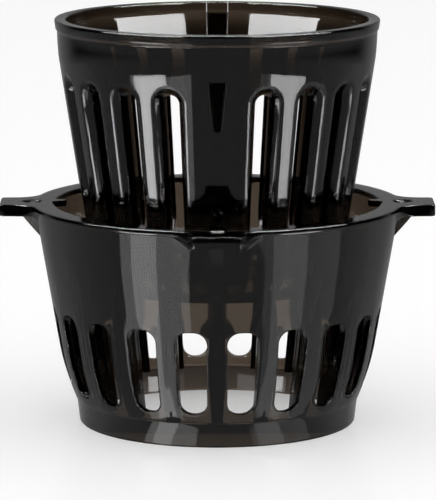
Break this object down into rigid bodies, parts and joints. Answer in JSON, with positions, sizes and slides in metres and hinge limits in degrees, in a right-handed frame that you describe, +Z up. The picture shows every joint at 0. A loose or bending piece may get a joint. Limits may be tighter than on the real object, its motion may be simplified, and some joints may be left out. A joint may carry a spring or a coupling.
{
  "type": "slow juicer strainer",
  "caption": "Two-part juicing strainer: a slotted conical drum that drops into a ribbed, slotted basket with four ears.",
  "frame": {"origin": "centre of the basket's foot, on the surface it stands on", "axes": "+Z up along the common axis; -Y is the front ear"},
  "size_m": [0.1438, 0.1438, 0.1334],
  "materials": {
    "smoke_plastic": "glossy translucent smoky black"
  },
  "bodies": {
    "basket": {"basket_rim": "smoke_plastic", "basket_keys": "smoke_plastic", "ear_front": "smoke_plastic", "ear_right": "smoke_plastic", "ear_back": "smoke_plastic", "ear_left": "smoke_plastic", "web_front": "smoke_plastic", "web_right": "smoke_plastic", "web_back": "smoke_plastic", "web_left": "smoke_plastic", "basket_wall": "smoke_plastic", "basket_bars": "smoke_plastic", "basket_ribs": "smoke_plastic", "basket_sill": "smoke_plastic", "basket_foot": "smoke_plastic"},
    "drum": {"drum_lip": "smoke_plastic", "drum_collar": "smoke_plastic", "drum_panels": "smoke_plastic", "drum_bars": "smoke_plastic", "drum_keyway_pads": "smoke_plastic", "drum_neck": "smoke_plastic", "drum_floor": "smoke_plastic"}
  },
  "joints": [
    {"name": "drum_lift", "type": "slide", "parent": "basket", "child": "drum", "axis": [0, 0, 1], "range_m": [-0.0449, 0.06]}
  ]
}
